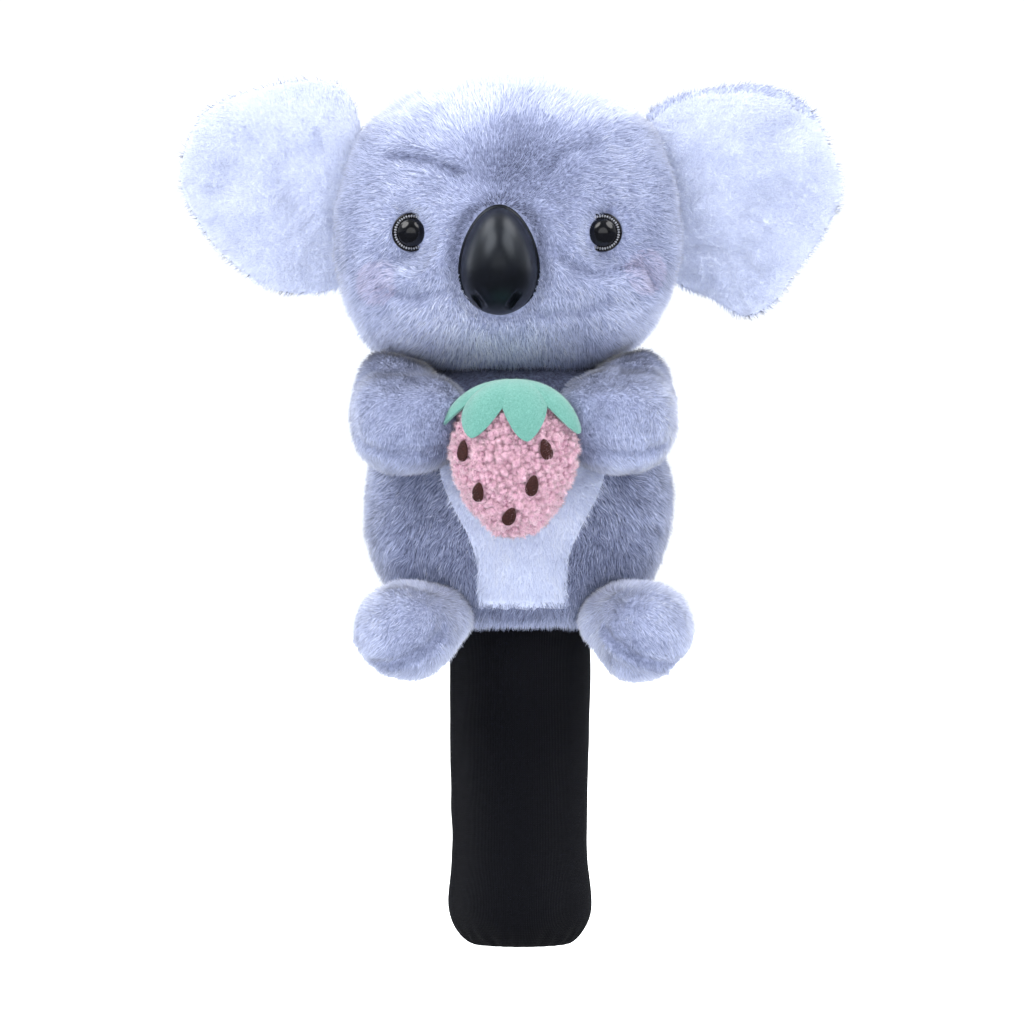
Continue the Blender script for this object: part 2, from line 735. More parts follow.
def make_torso():
    verts, faces = star(TORSO, torso_field, 110, 6)
    radius = np.hypot(verts[:, 0], verts[:, 1])
    crossing = ((radius[faces] < MOUTH) & (verts[:, 2] < UNDERSIDE)[faces]).all(axis=1)
    surface = (verts, faces[~crossing])
    torso = make_piece("torso_plush", surface, BODY_UNDER, None,
                       ("torso_skin", "torso_padding"))
    thicken(torso, 3.0)
    apply_modifiers(torso)
    torso.data.shade_smooth()
    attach(torso, "torso")

    def keep(spots, normals):
        low = (np.hypot(spots[:, 0], spots[:, 1]) < MOUTH + 0.4) & (spots[:, 2] < UNDERSIDE)
        return ~low & ~on_belly(spots, -1.6, 3.5) & (spots[:, 2] < 256)

    def flow(spots):
        return np.stack([0.15 * spots[:, 0] / 60, 0.1 * spots[:, 1] / 60, -np.ones(len(spots))], axis=1)

    def tone(spots):
        shade = 0.47 + 0.09 * noise(spots, 6.0, 51) + 0.07 * noise(spots, 24.0, 52)
        shade -= 0.08 * np.clip((TORSO[2] - spots[:, 2]) / 50, -0.4, 1)
        shade -= 0.42 * np.clip((spots[:, 2] - 230) / 14, 0, 1)
        shade += 0.14 * np.clip((HEM_LEVEL + 4 - spots[:, 2]) / 4, 0, 1)
        return np.clip(shade, 0.05, 0.95)

    make_fur("torso_fur", surface, "torso", *GREY, 2.3, 4.2, 0.31, 1.1, flow, tone, 131, keep=keep,
             grain=0.14)
    angle = np.linspace(0, math.tau, 160, endpoint=False)
    # the hem's rings: how far each is outside the mouth, and above the hem's level
    rings = [np.column_stack([(MOUTH + wider) * np.cos(angle), (MOUTH + wider) * np.sin(angle),
                              0 * angle + HEM_LEVEL + above])
             for wider, above in ((3.4, 2.6), (2.2, 0.9), (0.9, 0.2))]
    hem = np.vstack(rings), cells(len(rings), len(angle), DOWNWARDS).reshape(-1, 3)
    make_fur("hem_fur", hem, "torso", *GREY, 4.5, 4.4, 0.27, 1.8,
             lambda spots: np.array([0, 0, -1.0]) - 0.15 * unit(spots * [1, 1, 0]), hem_tone, 141, stray=0.25)

    panel_faces = faces[on_belly(verts[faces].mean(axis=1))]
    used, back = np.unique(panel_faces, return_inverse=True)
    panel_faces = back.reshape(-1, 3)
    patch = verts[used] + 0.8 * vertex_normals(verts, faces)[used]
    # the jagged sides of the patch are moved onto the panel's outline
    sides = np.sort(panel_faces[:, [0, 1, 1, 2, 2, 0]].reshape(-1, 2), axis=1)
    pairs, times = np.unique(sides, axis=0, return_counts=True)
    edge = np.unique(pairs[times == 1])
    edge = edge[(patch[edge, 2] > BELLY_LOW[2] + 3) & (patch[edge, 2] < BELLY_HIGH[2] - 3)]
    patch[edge, 0] = BELLY_MIDDLE + np.sign(patch[edge, 0] - BELLY_MIDDLE) * belly_half(patch[edge, 2])
    panel = (patch, panel_faces)
    belly = make_piece("belly_cloth", panel, WHITE_UNDER, None, ("belly_panel",))
    thicken(belly, 0.7)
    apply_modifiers(belly)
    belly.data.shade_smooth()
    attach(belly, "torso")

    def white(spots):
        return np.clip(0.52 + 0.1 * noise(spots, 8.0, 61), 0, 0.99)

    make_fur("belly_fur", panel, "torso", *WHITE, 2.4, 4.4, 0.32, 1.0, flow, white, 161,
             keep=lambda spots, normals: on_belly(spots, -0.8, 4.0))


make_torso()


# ---------------------------------------------------------------- ears

EAR_DEEP = 4.0          # how far behind the middle plane an ear lies
EAR_AROUND = 150        # points round an ear's outline
WHITE_RIM = 4.5         # the width of the front's white pile that shows round an ear's back
# ear outlines: outward and up from the fold line's middle, in millimetres
EAR_OUTLINES = {
    "left": [(-14, 30), (-6, 45), (12, 48.0), (31, 44), (50, 37), (61, 24), (65.5, 5), (60, -11),
             (44, -32), (22, -45.5), (-2, -45), (-15, -34), (-17, 0)],
    "right": [(-19, 28), (-10, 38), (6, 43), (32, 45.5), (52, 37.5), (62, 22), (69, -1), (61, -20),
              (48, -38), (39, -51), (26, -57), (11, -49), (-3, -43), (-15, -32), (-18, 0)],
}
# dents in the front of each ear: depth, the ends of its line as outward and up from the fold, and width
EAR_DENTS = {
    "left": [(2.2, (34, 18, 0), (46, -2, 0), 7), (1.8, (12, -12, 0), (20, 8, 0), 8)],
    "right": [(2.6, (28, 20, 0), (44, 26, 0), 6), (2.4, (26, -10, 0), (40, -2, 0), 7),
              (1.6, (2, -24, 0), (24, -28, 0), 3.5)],
}


def closed_curve(corners, count):
    """Points evenly along a smooth closed curve through the corners."""
    knots = np.array(corners, float)
    number = len(knots)
    fine = []
    for index in range(number):
        a, b, c, d = (knots[(index + step) % number] for step in (-1, 0, 1, 2))
        for t in np.linspace(0, 1, 24, endpoint=False):
            fine.append(0.5 * (2 * b + (c - a) * t + (2 * a - 5 * b + 4 * c - d) * t ** 2
                               + (3 * b - a - 3 * c + d) * t ** 3))
    fine = np.array(fine)
    closed = np.vstack([fine, fine[:1]])
    walked = np.concatenate([[0], np.cumsum(np.linalg.norm(np.diff(closed, axis=0), axis=1))])
    steps = np.linspace(0, walked[-1], count, endpoint=False)
    return np.stack([np.interp(steps, walked, closed[:, axis]) for axis in range(2)], axis=1)


def ear_surface(word, front):
    """One face of an ear, from its middle to the seam round its edge."""
    side, rings = SIDES[word], 30
    heart = np.array([22.0, -2.0])
    outline = heart + (closed_curve(EAR_OUTLINES[word], EAR_AROUND) - heart) * [0.965, 0.97]
    fold = pivot("ear_fold_" + word)
    rows = [[[*heart, 1.0]]]
    for ring in range(1, rings + 1):
        part = (ring / rings) ** 0.85
        crown = (1 - part ** 3.2) ** 0.65
        rows.append(np.column_stack([heart + (outline - heart) * part, np.full(EAR_AROUND, crown)]))
    outward, up, crown = np.vstack(rows).T
    spots = np.column_stack([outward, up, outward * 0])
    cup = -4.5 * np.clip(outward / 65, 0, 1) ** 2
    dents = sum(deep * near_line(spots, start, end, wide) for deep, start, end, wide in EAR_DENTS[word])
    puff = 4.6 * crown + 0.5 * noise(spots + [0, 0, 9 * side], 13.0, 71)
    if front:
        deep = EAR_DEEP + cup - puff + dents * np.clip(crown * 1.6, 0, 1)
    else:
        deep = EAR_DEEP + cup + puff
    verts = np.column_stack([fold[0] + side * outward, deep, fold[2] + up])
    index = np.arange(EAR_AROUND)
    fan = np.column_stack([0 * index, 1 + index, 1 + (index + 1) % EAR_AROUND])
    rest = cells(rings, EAR_AROUND, AGAINST, 1).transpose(1, 0, 2, 3).reshape(EAR_AROUND, -1, 3)
    faces = np.concatenate([fan[:, None], rest], axis=1).reshape(-1, 3)
    return faced((verts, faces), (0, -1 if front else 1, 0))


def make_ear(word):
    side = SIDES[word]
    fold = pivot("ear_fold_" + word)
    seam = ("head", "ear_" + word, point(fold - [side * 7, 0, 0]), point(fold + [side * 9, 0, 0]))
    front, back = ear_surface(word, True), ear_surface(word, False)
    count = len(front[0])
    rim = count - EAR_AROUND
    back_faces = np.where(back[1] >= rim, back[1], back[1] + count)
    joined = np.vstack([front[0], back[0][:rim]]), np.vstack([front[1], back_faces])
    whole = make_piece("ear_cloth_" + word, joined, WHITE_UNDER, None,
                       ("ear_front_" + word, "ear_back_" + word, "ear_padding_" + word))
    whole.data.materials.append(GREY_UNDER)
    for polygon in whole.data.polygons[len(front[1]):]:
        polygon.material_index = 1
    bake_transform(whole)

    def flow(spots):
        return (spots - (fold - [side * 25, 0, 0])) * [1, 0.2, 0.8]

    outline = front[0][rim:]

    def rim_gap(spots):
        """Distance from the seam round the ear's edge."""
        return np.min([np.hypot(spots[:, 0] - x, spots[:, 2] - z) for x, _, z in outline[::3]], axis=0)

    def white(spots):
        shade = 0.40 + 0.09 * noise(spots, 8.0, 81) + 0.07 * noise(spots, 20.0, 82)
        shade += 0.3 * np.exp(-rim_gap(spots) / 7) - 0.16 * bump(spots, fold + [0, -6, -20], (16, 30, 30))
        return np.clip(shade, 0, 0.99)

    def grey(spots):
        shade = 0.66 + 0.07 * noise(spots, 10.0, 83) + 0.25 * np.exp(-rim_gap(spots) / 4)
        return np.clip(shade, 0, 0.97)

    def outside_head(spots):
        return (head_field(spots) > -1.5) & ((spots[:, 0] - fold[0]) * side > -19)

    def rolled(spots):
        """The grey back shows over the top edge of the right ear."""
        top = fold + np.array([(-16, 0, 31), (-8, 0, 38), (8, 0, 43), (30, 0, 44), (44, 0, 40), (54, 0, 32)])
        flat = spots * [1, 0, 1] + [0, fold[1], 0]
        return (word == "right") & (near_path(flat, top, 3.4) > 0.37)

    def fur(name, surface, kind, density, length, width, tone, seed, keep, **looks):
        make_fur(name, surface, None, *kind, density, length, width, 1.2, flow, tone, seed, seam=seam,
                 keep=lambda spots, normals: outside_head(spots) & keep(spots), stray=0.15, **looks)

    looks = {"tuft": 3.0, "soft": 0.85, "grain": 0.05}
    fur("ear_front_fur_" + word, front, WHITE, 2.6, 3.4, 0.30, white, 201 + int(side),
         lambda spots: ~rolled(spots), **looks)
    fur("ear_back_fur_" + word, back, GREY, 2.4, 3.6, 0.31, grey, 211 + int(side),
         lambda spots: (rim_gap(spots) > WHITE_RIM) | rolled(spots), **looks)
    fur("ear_rim_fur_" + word, back, WHITE, 2.6, 3.2, 0.30, white, 217 + int(side),
         lambda spots: (rim_gap(spots) <= WHITE_RIM) & ~rolled(spots), **looks)
    if word == "right":
        fur("ear_edge_fur", front, GREY, 2.8, 3.2, 0.30,
             lambda spots: 0.60 + 0.08 * noise(spots, 5.0, 85), 221, rolled, grain=0.06)


for word in SIDES:
    make_ear(word)


# ---------------------------------------------------------------- arms and feet

def turned(angle):
    """A turn in the XZ plane, for egg(): its columns are the turned axes."""
    sine, cosine = math.sin(angle), math.cos(angle)
    return np.array([[cosine, 0, -sine], [0, 1, 0], [sine, 0, cosine]])


def limb_tone(level, seed):
    def tone(spots):
        shade = level + 0.06 * noise(spots, 9.0, seed) + 0.05 * noise(spots, 22.0, seed + 1)
        return np.clip(shade, 0.05, 0.95)
    return tone


def make_limb(kind, word, surface, inside, seam, length, lean, flow, tone, seed):
    """An arm or a foot with its fur, which blends into the torso, and the CAD nodes that it stands for."""
    limb = make_piece(f"{kind}_plush_{word}", surface, LIMB_UNDER, None,
                      [f"{node}_{word}" for node in inside])
    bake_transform(limb)
    make_fur(f"{kind}_fur_{word}", surface, None, *GREY, 2.5, length, 0.30, lean, flow, tone,
             seed + int(SIDES[word]), keep=lambda spots, normals: torso_field(spots) > -2.0,
             seam=seam, stray=0.2, soft=0.8)


def make_arm(word):
    """An arm from under the chin that lies round the strawberry, with a seam along its underside."""
    side = SIDES[word]
    low, high = box("arm_skin_" + word)
    closer = 3.5 if word == "left" else 8.5
    centre = (low + high) / 2 - [side * closer, 0, 0]
    heart = centre + [0, 6, 0]

    def bare(points):
        shoulder = egg(points, centre + [side * 2.5, 29, 9], (16, 20, 20), 2.2)
        palm = egg(points, centre + [side * 0.2, -1, -3], (20, 27.5, 21), 2.25)
        inner = egg(points, centre + [side * -14, -8, -3], (13.5, 18, 16), 2.2)
        under_chin = points[:, 2] - centre[2] - 21 - 0.36 * (points[:, 1] - centre[1])
        form = trim(meld(meld(shoulder, palm, 14), inner, 9), under_chin, 8)
        return trim(form, 2.4 - bare_head(points), 4)

    seam_path = laid(centre + np.array([(side * 20, -14, -12), (side * 10, -25, -16.5), (side * -4, -29, -18),
                                        (side * -17, -22, -15)]), heart, bare)

    def field(points):
        form = bare(points) + 1.8 * near_path(points, seam_path, 2.0)
        return form + 0.9 * noise(points, 17.0, 23) + 0.5 * noise(points, 8.0, 24)

    shoulder = pivot("arms_lift")
    seam = ("torso", "arms", point(shoulder + [0, 10, 0]), point(shoulder - [0, 12, 0]))
    base = limb_tone(0.47 if word == "left" else 0.57, 91)

    def flow(spots):
        return np.array([side * 0.25, -0.3, -1.0]) + 0 * spots

    def tone(spots):
        outer, up = side * (spots[:, 0] - centre[0]), spots[:, 2] - centre[2]
        shade = base(spots) - 0.30 * climb(up, 10, 14) - 0.20 * climb(-outer, 6, 12)
        shade -= 0.40 * np.exp(-np.clip(bare_head(spots), 0, 60) / 5)
        shade += 0.16 * climb(outer, 4, 14) + 0.14 * climb(-up, 17, 5)
        return np.clip(shade - 0.16 * near_path(spots, seam_path, 2.2), 0.05, 0.95)

    make_limb("arm", word, star(heart, field, 80, 6), ("arm_skin", "arm_stuffing"), seam, 3.4, 1.4, flow,
              tone, 231)


def make_foot(word):
    """A foot with a seam between its top and its sole, and short toes at its front."""
    side = SIDES[word]
    low, high = box("foot_skin_" + word)
    centre, half = (low + high) / 2, (high - low) / 2
    centre += [-0.8 * side if word == "left" else 2.6, 0, -0.8]
    heart = centre + [side * -1, 4, 1]

    def bare(points):
        toes = egg(points, centre, (half[0] - 0.6, half[1] - 1, half[2] - 1.6), 2.15, turned(side * 0.5))
        ankle = egg(points, centre + [side * -9, 18, 6], (17, 22, 13), 2.1)
        return meld(toes, ankle, 9)

    # the seam between the top of the foot and its sole, a crescent from the toes' tip to the inner ankle
    seam_line = laid(centre + np.array([(side * across, deep, up) for across, deep, up in
                                        ((15.0, -8, -14.0), (9.0, -18, -14.5), (0, -24, -12.0),
                                         (-9.0, -24, -6.5), (-16.0, -16, 2.0))]), heart, bare)

    def field(points):
        form = bare(points) + 1.7 * near_path(points, seam_line, 2.2)
        form -= 1.0 * near_path(points, seam_line + [side * -3, 0, -4.5], 4.0)
        return form + 0.8 * noise(points, 15.0, 33) + 0.5 * noise(points, 7.0, 34)

    ankle = pivot("foot_flex_" + word)
    seam = ("torso", "foot_" + word, point(ankle + [0, 8, 3]), point(ankle - [0, 10, 4]))
    base = limb_tone(0.68, 95)

    def tone(spots):
        toes = bump(spots, centre + [side * -2, -24, -6], (11, 16, 8))
        shade = base(spots) - 0.26 * near_path(spots, seam_line, 2.4) - 0.16 * toes
        return np.clip(shade + 0.10 * toes * noise(spots, 2.4, 97), 0.05, 0.95)

    def flow(spots):
        return 0.7 * unit(spots - (centre + [side * -1, -10, -3])) + np.array([side * 0.3, -0.2, -0.6])

    def length(spots):
        return 3.4 * (1 - 0.35 * near_path(spots, seam_line, 2.6))

    make_limb("foot", word, star(heart, field, 80, 6), ("foot_skin", "foot_stuffing", "toe_stitches"), seam,
              length, 1.3, flow, tone, 251)


for word in SIDES:
    make_arm(word)
    make_foot(word)


# ---------------------------------------------------------------- nose and eyes

def sweep_rings(rings):
    """Join rings of points, each around the same axis, into one closed skin."""
    around = len(rings[0])
    verts = np.vstack([*rings, rings[0].mean(axis=0), rings[-1].mean(axis=0)])
    index = np.arange(around)
    following = (index + 1) % around
    last, end = 0 * index + len(verts) - 1, (len(rings) - 1) * around
    caps = np.stack([np.column_stack([last - 1, following, index]),
                     np.column_stack([last, end + index, end + following])], axis=1)
    return verts, np.vstack([cells(len(rings), around, ALONG).reshape(-1, 3), caps.reshape(-1, 3)])


def make_nose():
    """A moulded egg of a nose with a thin rim and two almond nostrils, in black plastic."""
    around = 288
    angle = np.linspace(0, math.tau, around, endpoint=False)
    rise = np.cos(angle)
    rim_x = NOSE_WIDE * np.sin(angle) * (1 - 0.17 * rise) / 1.014
    rim_z = NOSE_TALL * rise
    front, seat = NOSE_LOW[1] + 0.8, NOSE[1] + 1.5
    profile = [(0.90, seat), (0.985, seat - 0.2), (1.0, seat - 1.0), (0.985, seat - 1.8), (0.945, seat - 2.2)]
    rings = [np.column_stack([rim_x * scale, np.full(around, deep), rim_z * scale])
             for scale, deep in profile]
    dome = seat - 2.4 - front
    for part in np.linspace(0, 1, 92)[:-1]:
        reach = math.cos(part * math.pi / 2) ** 0.94
        out = math.sin(part * math.pi / 2) ** 1.12
        rings.append(np.column_stack([rim_x * 0.925 * reach, np.full(around, seat - 2.4 - dome * out),
                                      rim_z * 0.925 * reach]))
    verts, faces = sweep_rings(rings)
    high = verts[:, 2]
    verts[:, 1] += 0.9 * np.exp(-((high + 24) / 9) ** 2)
    for side in SIDES.values():
        hole = np.array([side * 7.2 - 1.2, 0, -16.6])
        lean = side * 0.92
        across = (verts[:, 0] - hole[0]) * math.cos(lean) + (high - hole[2]) * math.sin(lean)
        along = -(verts[:, 0] - hole[0]) * math.sin(lean) + (high - hole[2]) * math.cos(lean)
        slit = np.exp(-((np.abs(across) / 3.6) ** 4 + (np.abs(along) / 1.25) ** 4))
        lip = np.exp(-((np.abs(across) / 4.9) ** 4 + (np.abs(along) / 2.5) ** 4))
        verts[:, 1] += np.where(verts[:, 1] < seat - 3, 3.4 * slit - 0.7 * lip, 0)
    verts += [NOSE[0], 0, NOSE[2]]
    material = grained("black_nose", 6, [(0.35, (7, 9, 14)), (0.65, (11, 13, 20))], (0.5, 0.12, 0.08),
                       Roughness=0.38, Coat_Weight=0.1, Coat_Roughness=0.25, Specular_IOR_Level=0.3,
                       Specular_Tint=(0.78, 0.87, 1, 1))
    make_piece("nose_moulding", faced_out((verts, faces)), material, "head", ("nose",))


def turned_on(centre, outward, profile, around):
    """A skin of revolution: profile of (radius, height) about the outward axis from centre."""
    outward = unit(np.asarray(outward, float))
    across, up = axes(outward)
    angle = np.linspace(0, math.tau, around, endpoint=False)[:, None]
    ways = np.cos(angle) * across + np.sin(angle) * up
    return faced_out(sweep_rings([centre + radius * ways + height * outward for radius, height in profile]))


def make_eye(word):
    """A glossy domed eye in a flange, with a ring of fine silver beads in its groove."""
    centre, outward = EYES[word]
    flange, dome_radius, dome_height = EYE_FLANGE, 6.1, 3.6
    profile = [(flange - 1.6, -0.9), (flange - 0.3, -0.7), (flange, 0.1), (flange - 0.15, 0.7),
               (flange - 0.45, 1.0), (flange - 0.75, 0.95), (flange - 0.9, 0.55), (dome_radius + 0.1, 0.45)]
    for part in np.linspace(0, 1, 22)[:-1]:
        profile.append((dome_radius * math.cos(part * math.pi / 2),
                        0.55 + dome_height * math.sin(part * math.pi / 2)))
    black = grained("black_eye_" + word, 3, [(0.4, (8, 9, 13)), (0.6, (13, 14, 19))], (2.5, 0.04, 0.1),
                    Roughness=0.12, Coat_Weight=0.2, Coat_Roughness=0.04, Specular_IOR_Level=0.35)
    make_piece("eye_moulding_" + word, turned_on(centre, outward, profile, 96), black, "head",
               ("eye_" + word,))
    across, up = axes(outward)
    bead, bead_faces = icosphere(2)
    bead_size, count = 0.4, 40
    verts, faces = [], []
    for index in range(count):
        angle = math.tau * index / count
        way = math.cos(angle) * across + math.sin(angle) * up
        spot = centre + (dome_radius + 0.72) * way + 0.85 * outward
        faces.append(bead_faces + len(bead) * index)
        verts.append(spot + bead * bead_size + bead_size / 2 * (bead @ way)[:, None] * way)
    silver = grained("silver_ring_" + word, 0.8, [(0.3, (128, 130, 140)), (0.7, (196, 198, 208))],
                     (0.4, 0.1, 0.05), Roughness=0.3, Metallic=0.55)
    make_piece("eye_beads_" + word, (np.vstack(verts), np.vstack(faces)), silver, "head",
               ("eye_ring_" + word,))


make_nose()
for word in SIDES:
    make_eye(word)


# ---------------------------------------------------------------- strawberry

BERRY_LOW, BERRY_HIGH = box("strawberry_skin")
BERRY = (BERRY_LOW + BERRY_HIGH) / 2
BERRY_HALF = (BERRY_HIGH - BERRY_LOW) / 2
# each seed: across and up from the strawberry's middle, and its lean in degrees
SEEDS = ((12.8, 4.0, -16), (7.2, -10.7, 10), (-14.3, -13.2, 20), (-20.5, 3.5, 8), (-1.8, -23.0, 24))


def berry_field(points):
    """A heart-like cone with a rounded tip, before the curls of its pile."""
    upper = egg(points, BERRY + [0, 0, 4.5], (BERRY_HALF[0] + 0.2, BERRY_HALF[1] - 0.6, 23.5), 2.2)
    tip = egg(points, BERRY + [0, 0.6, -16.5], (12.5, 10.5, 13.6), 2.0)
    return meld(upper, tip, 15)


def make_berry():
    """Pink curly pile over the stuffed berry."""
    core = star(BERRY, berry_field, 60, 4)
    rng = np.random.default_rng(301)
    spots, normals = scatter(core, 6.0, rng)
    knots, apart, sunk = [], 2.3, 0.9       # curls stand this far apart, and are sunk this deep
    for index in rng.permutation(len(spots)):
        if not knots or ((spots[index] - spots[knots]) ** 2).sum(axis=1).min() > apart ** 2:
            knots.append(index)
    ball, ball_faces = icosphere(2)
    verts, faces = [core[0] - sunk * vertex_normals(*core)], [core[1]]
    count = len(core[0])
    for index in knots:
        size = 1.3 + 0.8 * rng.random()
        curl = ball * size * (1 + 0.46 * noise(ball * 2.4 + spots[index], 1.2, 311))[:, None]
        curl += 0.6 * size * (rng.random() - 0.35) * normals[index]
        verts.append(spots[index] - sunk * normals[index] + curl)
        faces.append(ball_faces + count)
        count += len(ball)
    surface = (np.vstack(verts), np.vstack(faces))
    curls = grained("pink_curls", 1.2,
                    [(0.25, (166, 118, 140)), (0.5, (202, 158, 178)), (0.75, (232, 194, 208))],
                    (0.8, 0.8, 0.8), Roughness=0.95, Sheen_Weight=0.5, Sheen_Roughness=0.5,
                    Specular_IOR_Level=0.1)
    berry = make_piece("strawberry_pile", surface, curls, "arms",
                       ("strawberry_skin", "strawberry_stuffing"))

    def tone(spots):
        return np.clip(0.55 + 0.25 * noise(spots, 3.0, 341) + 0.1 * noise(spots, 9.0, 342), 0, 0.99)

    fluff = fur_material("pink_fur", [(0.0, (206, 158, 178)), (0.5, (238, 198, 212)), (1.0, (255, 232, 240))],
                         [(0.0, (160, 106, 128)), (0.5, (200, 148, 168)), (1.0, (228, 182, 200))])
    make_fur("strawberry_fuzz", surface, "arms", fluff, "pink_sherpa", 6.0, 1.9, 0.18, 1.3,
             lambda spots: vector_noise(spots, 2.6, 351), tone, 361,
             keep=lambda spots, normals: berry_field(spots) > 0.1, tuft=1.3, gather=0.4, stray=1.0, soft=0.6)
    return berry


def on_berry(directions, lift):
    """Points on the berry along directions from its middle, lifted off it."""
    spots = cast(np.zeros_like(directions) + BERRY, directions, berry_field, 60)
    return spots + np.asarray(lift)[:, None] * slope(spots, berry_field)


def make_leaves(berry):
    """Seven felt leaves cut from one sheet, laid over the top of the berry."""
    leaves, steps, rings = 7, 26, 26
    around = leaves * steps
    turn = math.radians(12.2 - 180 / leaves)
    verts = []
    for ring in range(rings + 1):
        part = ring / rings
        for index in range(around):
            heading = math.tau * index / around + turn
            across_leaf = abs((index % steps) / steps * 2 - 1)
            longer = 1 - across_leaf ** 1.5
            reach = 50 + (36 - 11 * abs(math.sin(heading)) + 2 * math.sin(index // steps * 2.3)) * longer
            verts.append((math.radians(reach * part), heading, part * longer, part))
    table = np.array(verts)
    polar, heading = table[:, 0], table[:, 1]
    ways = unit(np.column_stack([BERRY_HALF[0] * np.sin(polar) * np.sin(heading),
                                 -BERRY_HALF[1] * np.sin(polar) * np.cos(heading),
                                 4.5 + 23.5 * np.cos(polar)]))
    sideways = np.abs(np.sin(heading)) ** 3
    lift = 3.0 + 2.4 * (1 - table[:, 3] ** 2) + (1.2 + 1.6 * sideways) * table[:, 2] ** 2
    lift += 0.5 * np.sin(heading * 3.0) * table[:, 3]
    faces = cells(rings + 1, around, AGAINST).reshape(-1, 3)
    top = faced((on_berry(ways, lift), faces), (0, -1, 1))
    shader = Shader("mint_felt", Roughness=0.95, Sheen_Weight=0.4, Sheen_Roughness=0.5,
                    Specular_IOR_Level=0.1)
    fibres = shader.node("TexNoise", {"Vector": shader.place(), "Scale": 1600.0, "Detail": 4.0,
                                      "Roughness": 0.7, "Distortion": 1.5}).outputs["Fac"]
    shader.colour(shader.ramp(fibres, [(0.3, (74, 128, 116)), (0.5, (96, 150, 140)), (0.7, (120, 172, 162))]))
    shader.bump(fibres, 0.7, 0.35)
    felt = make_piece("felt_leaves", top, shader.material, None, ("calyx",))
    weld_close(felt)
    thicken(felt, 1.3)
    round_edge = felt.modifiers.new("edge", "BEVEL")
    round_edge.width = 0.25 * MM
    round_edge.segments = 2
    round_edge.limit_method = "ANGLE"
    apply_modifiers(felt)
    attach(felt, "arms")
    fuzz = fur_material("mint_fuzz", [(0.0, (88, 140, 130)), (1.0, (134, 182, 174))],
                        [(0.0, (74, 128, 116)), (1.0, (106, 158, 148))])
    make_fur("felt_fuzz", top, "arms", fuzz, "mint_felt", 3.0, 0.9, 0.12, 2.2,
             lambda spots: vector_noise(spots, 1.5, 381),
             lambda spots: np.clip(0.5 + 0.3 * noise(spots, 2.0, 371), 0, 0.99), 391,
             tuft=1.2, gather=0.1, stray=1.0)


def weld_close(piece):
    """Join the points of a piece that lie on each other."""
    mesh = bmesh.new()
    mesh.from_mesh(piece.data)
    bmesh.ops.remove_doubles(mesh, verts=mesh.verts, dist=0.02 * MM)
    mesh.to_mesh(piece.data)
    mesh.free()


def make_seeds():
    """Satin-stitched ovals, whose threads run across each seed, sunk in the pile."""
    verts, faces, count = [], [], 0
    rings, around = 22, 72
    half_width, half_height, thread_gap = 2.7, 4.5, 0.65
    for across, up, lean in SEEDS:
        start = np.array([[BERRY[0] + across, BERRY[1], BERRY[2] + up]])
        spot = cast(start, np.array([[0.0, -1.0, 0.0]]), berry_field, 40)
        outward = slope(spot, berry_field)[0]
        spot = spot[0] + 1.1 * outward
        right = unit(np.cross([0, 0, 1.0], outward) * -1)
        above = np.cross(outward, right)
        above = above if above[2] > 0 else -above
        tilt = math.radians(lean)
        right, above = (right * math.cos(tilt) + above * math.sin(tilt),
                        above * math.cos(tilt) - right * math.sin(tilt))
        for ring in range(rings + 1):
            part = ring / rings
            for index in range(around):
                angle = math.tau * index / around
                x = half_width * part * math.sin(angle) * (1 - 0.22 * math.cos(angle))
                y = half_height * part * math.cos(angle)
                dome = 1.25 * math.sqrt(max(0.0, 1 - part ** 2.4))
                thread = 0.13 * math.sin(y / thread_gap * math.tau) * min(1, (1 - part) * 6)
                verts.append(spot + x * right + y * above + (dome + thread) * outward)
        faces.append(cells(rings + 1, around, AGAINST, count).reshape(-1, 3))
        count += (rings + 1) * around
    satin = grained("brown_satin", 0.5, [(0.3, (30, 10, 10)), (0.7, (70, 32, 28))], (0.3, 0.3, 0.1),
                    Roughness=0.6, Sheen_Weight=0.08, Specular_IOR_Level=0.2)
    seeds = make_piece("satin_seeds", faced((np.array(verts), np.vstack(faces)), (0, -1, 0)), satin, None,
                       ("seeds",))
    weld_close(seeds)
    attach(seeds, "arms")


make_leaves(make_berry())
make_seeds()


# ---------------------------------------------------------------- sleeve

MOUTH_RADIUS = box("mouth_elastic")[1][0] - 2.3
OUTER_ROWS, INNER_ROWS = 78, 20


def sleeve_profile():
    """(radius, height) down the outside, in through the mouth and up the inside."""
    outside = [(28.8, 142.0), (29.6, 135.0), (30.1, 128.0), (30.2, 118.0), (30.0, 100.0), (29.7, 80.0),
               (29.2, 60.0), (28.8, 46.0), (29.2, 36.0), (30.3, 27.0), (30.8, 21.0), (30.6, 15.5),
               (29.1, 10.5), (26.4, 6.6), (23.3, 3.6), (20.3, 1.4), (18.0, 0.8), (MOUTH_RADIUS, 2.4),
               (MOUTH_RADIUS, 7.4)]
    inside = [(17.6, 9.2), (20.4, 10.6), (23.0, 13.0), (24.6, 18.0), (25.2, 26.0), (25.4, 35.0), (26.3, 40.0),
              (26.6, 60.0), (27.0, 90.0), (27.8, 118.0), (27.9, 128.0), (27.6, 141.5)]
    knots = np.array(outside + inside)
    walked = np.concatenate([[0], np.cumsum(np.linalg.norm(np.diff(knots, axis=0), axis=1))])
    outer_length = walked[len(outside) - 1]
    steps = np.concatenate([np.linspace(0, outer_length, OUTER_ROWS),
                            np.linspace(outer_length, walked[-1], INNER_ROWS)[1:]])
    soft = np.column_stack([np.interp(steps, walked, knots[:, axis]) for axis in range(2)])
    for _ in range(3):
        soft[1:-1] = (soft[:-2] + 2 * soft[1:-1] + soft[2:]) / 4
    return soft


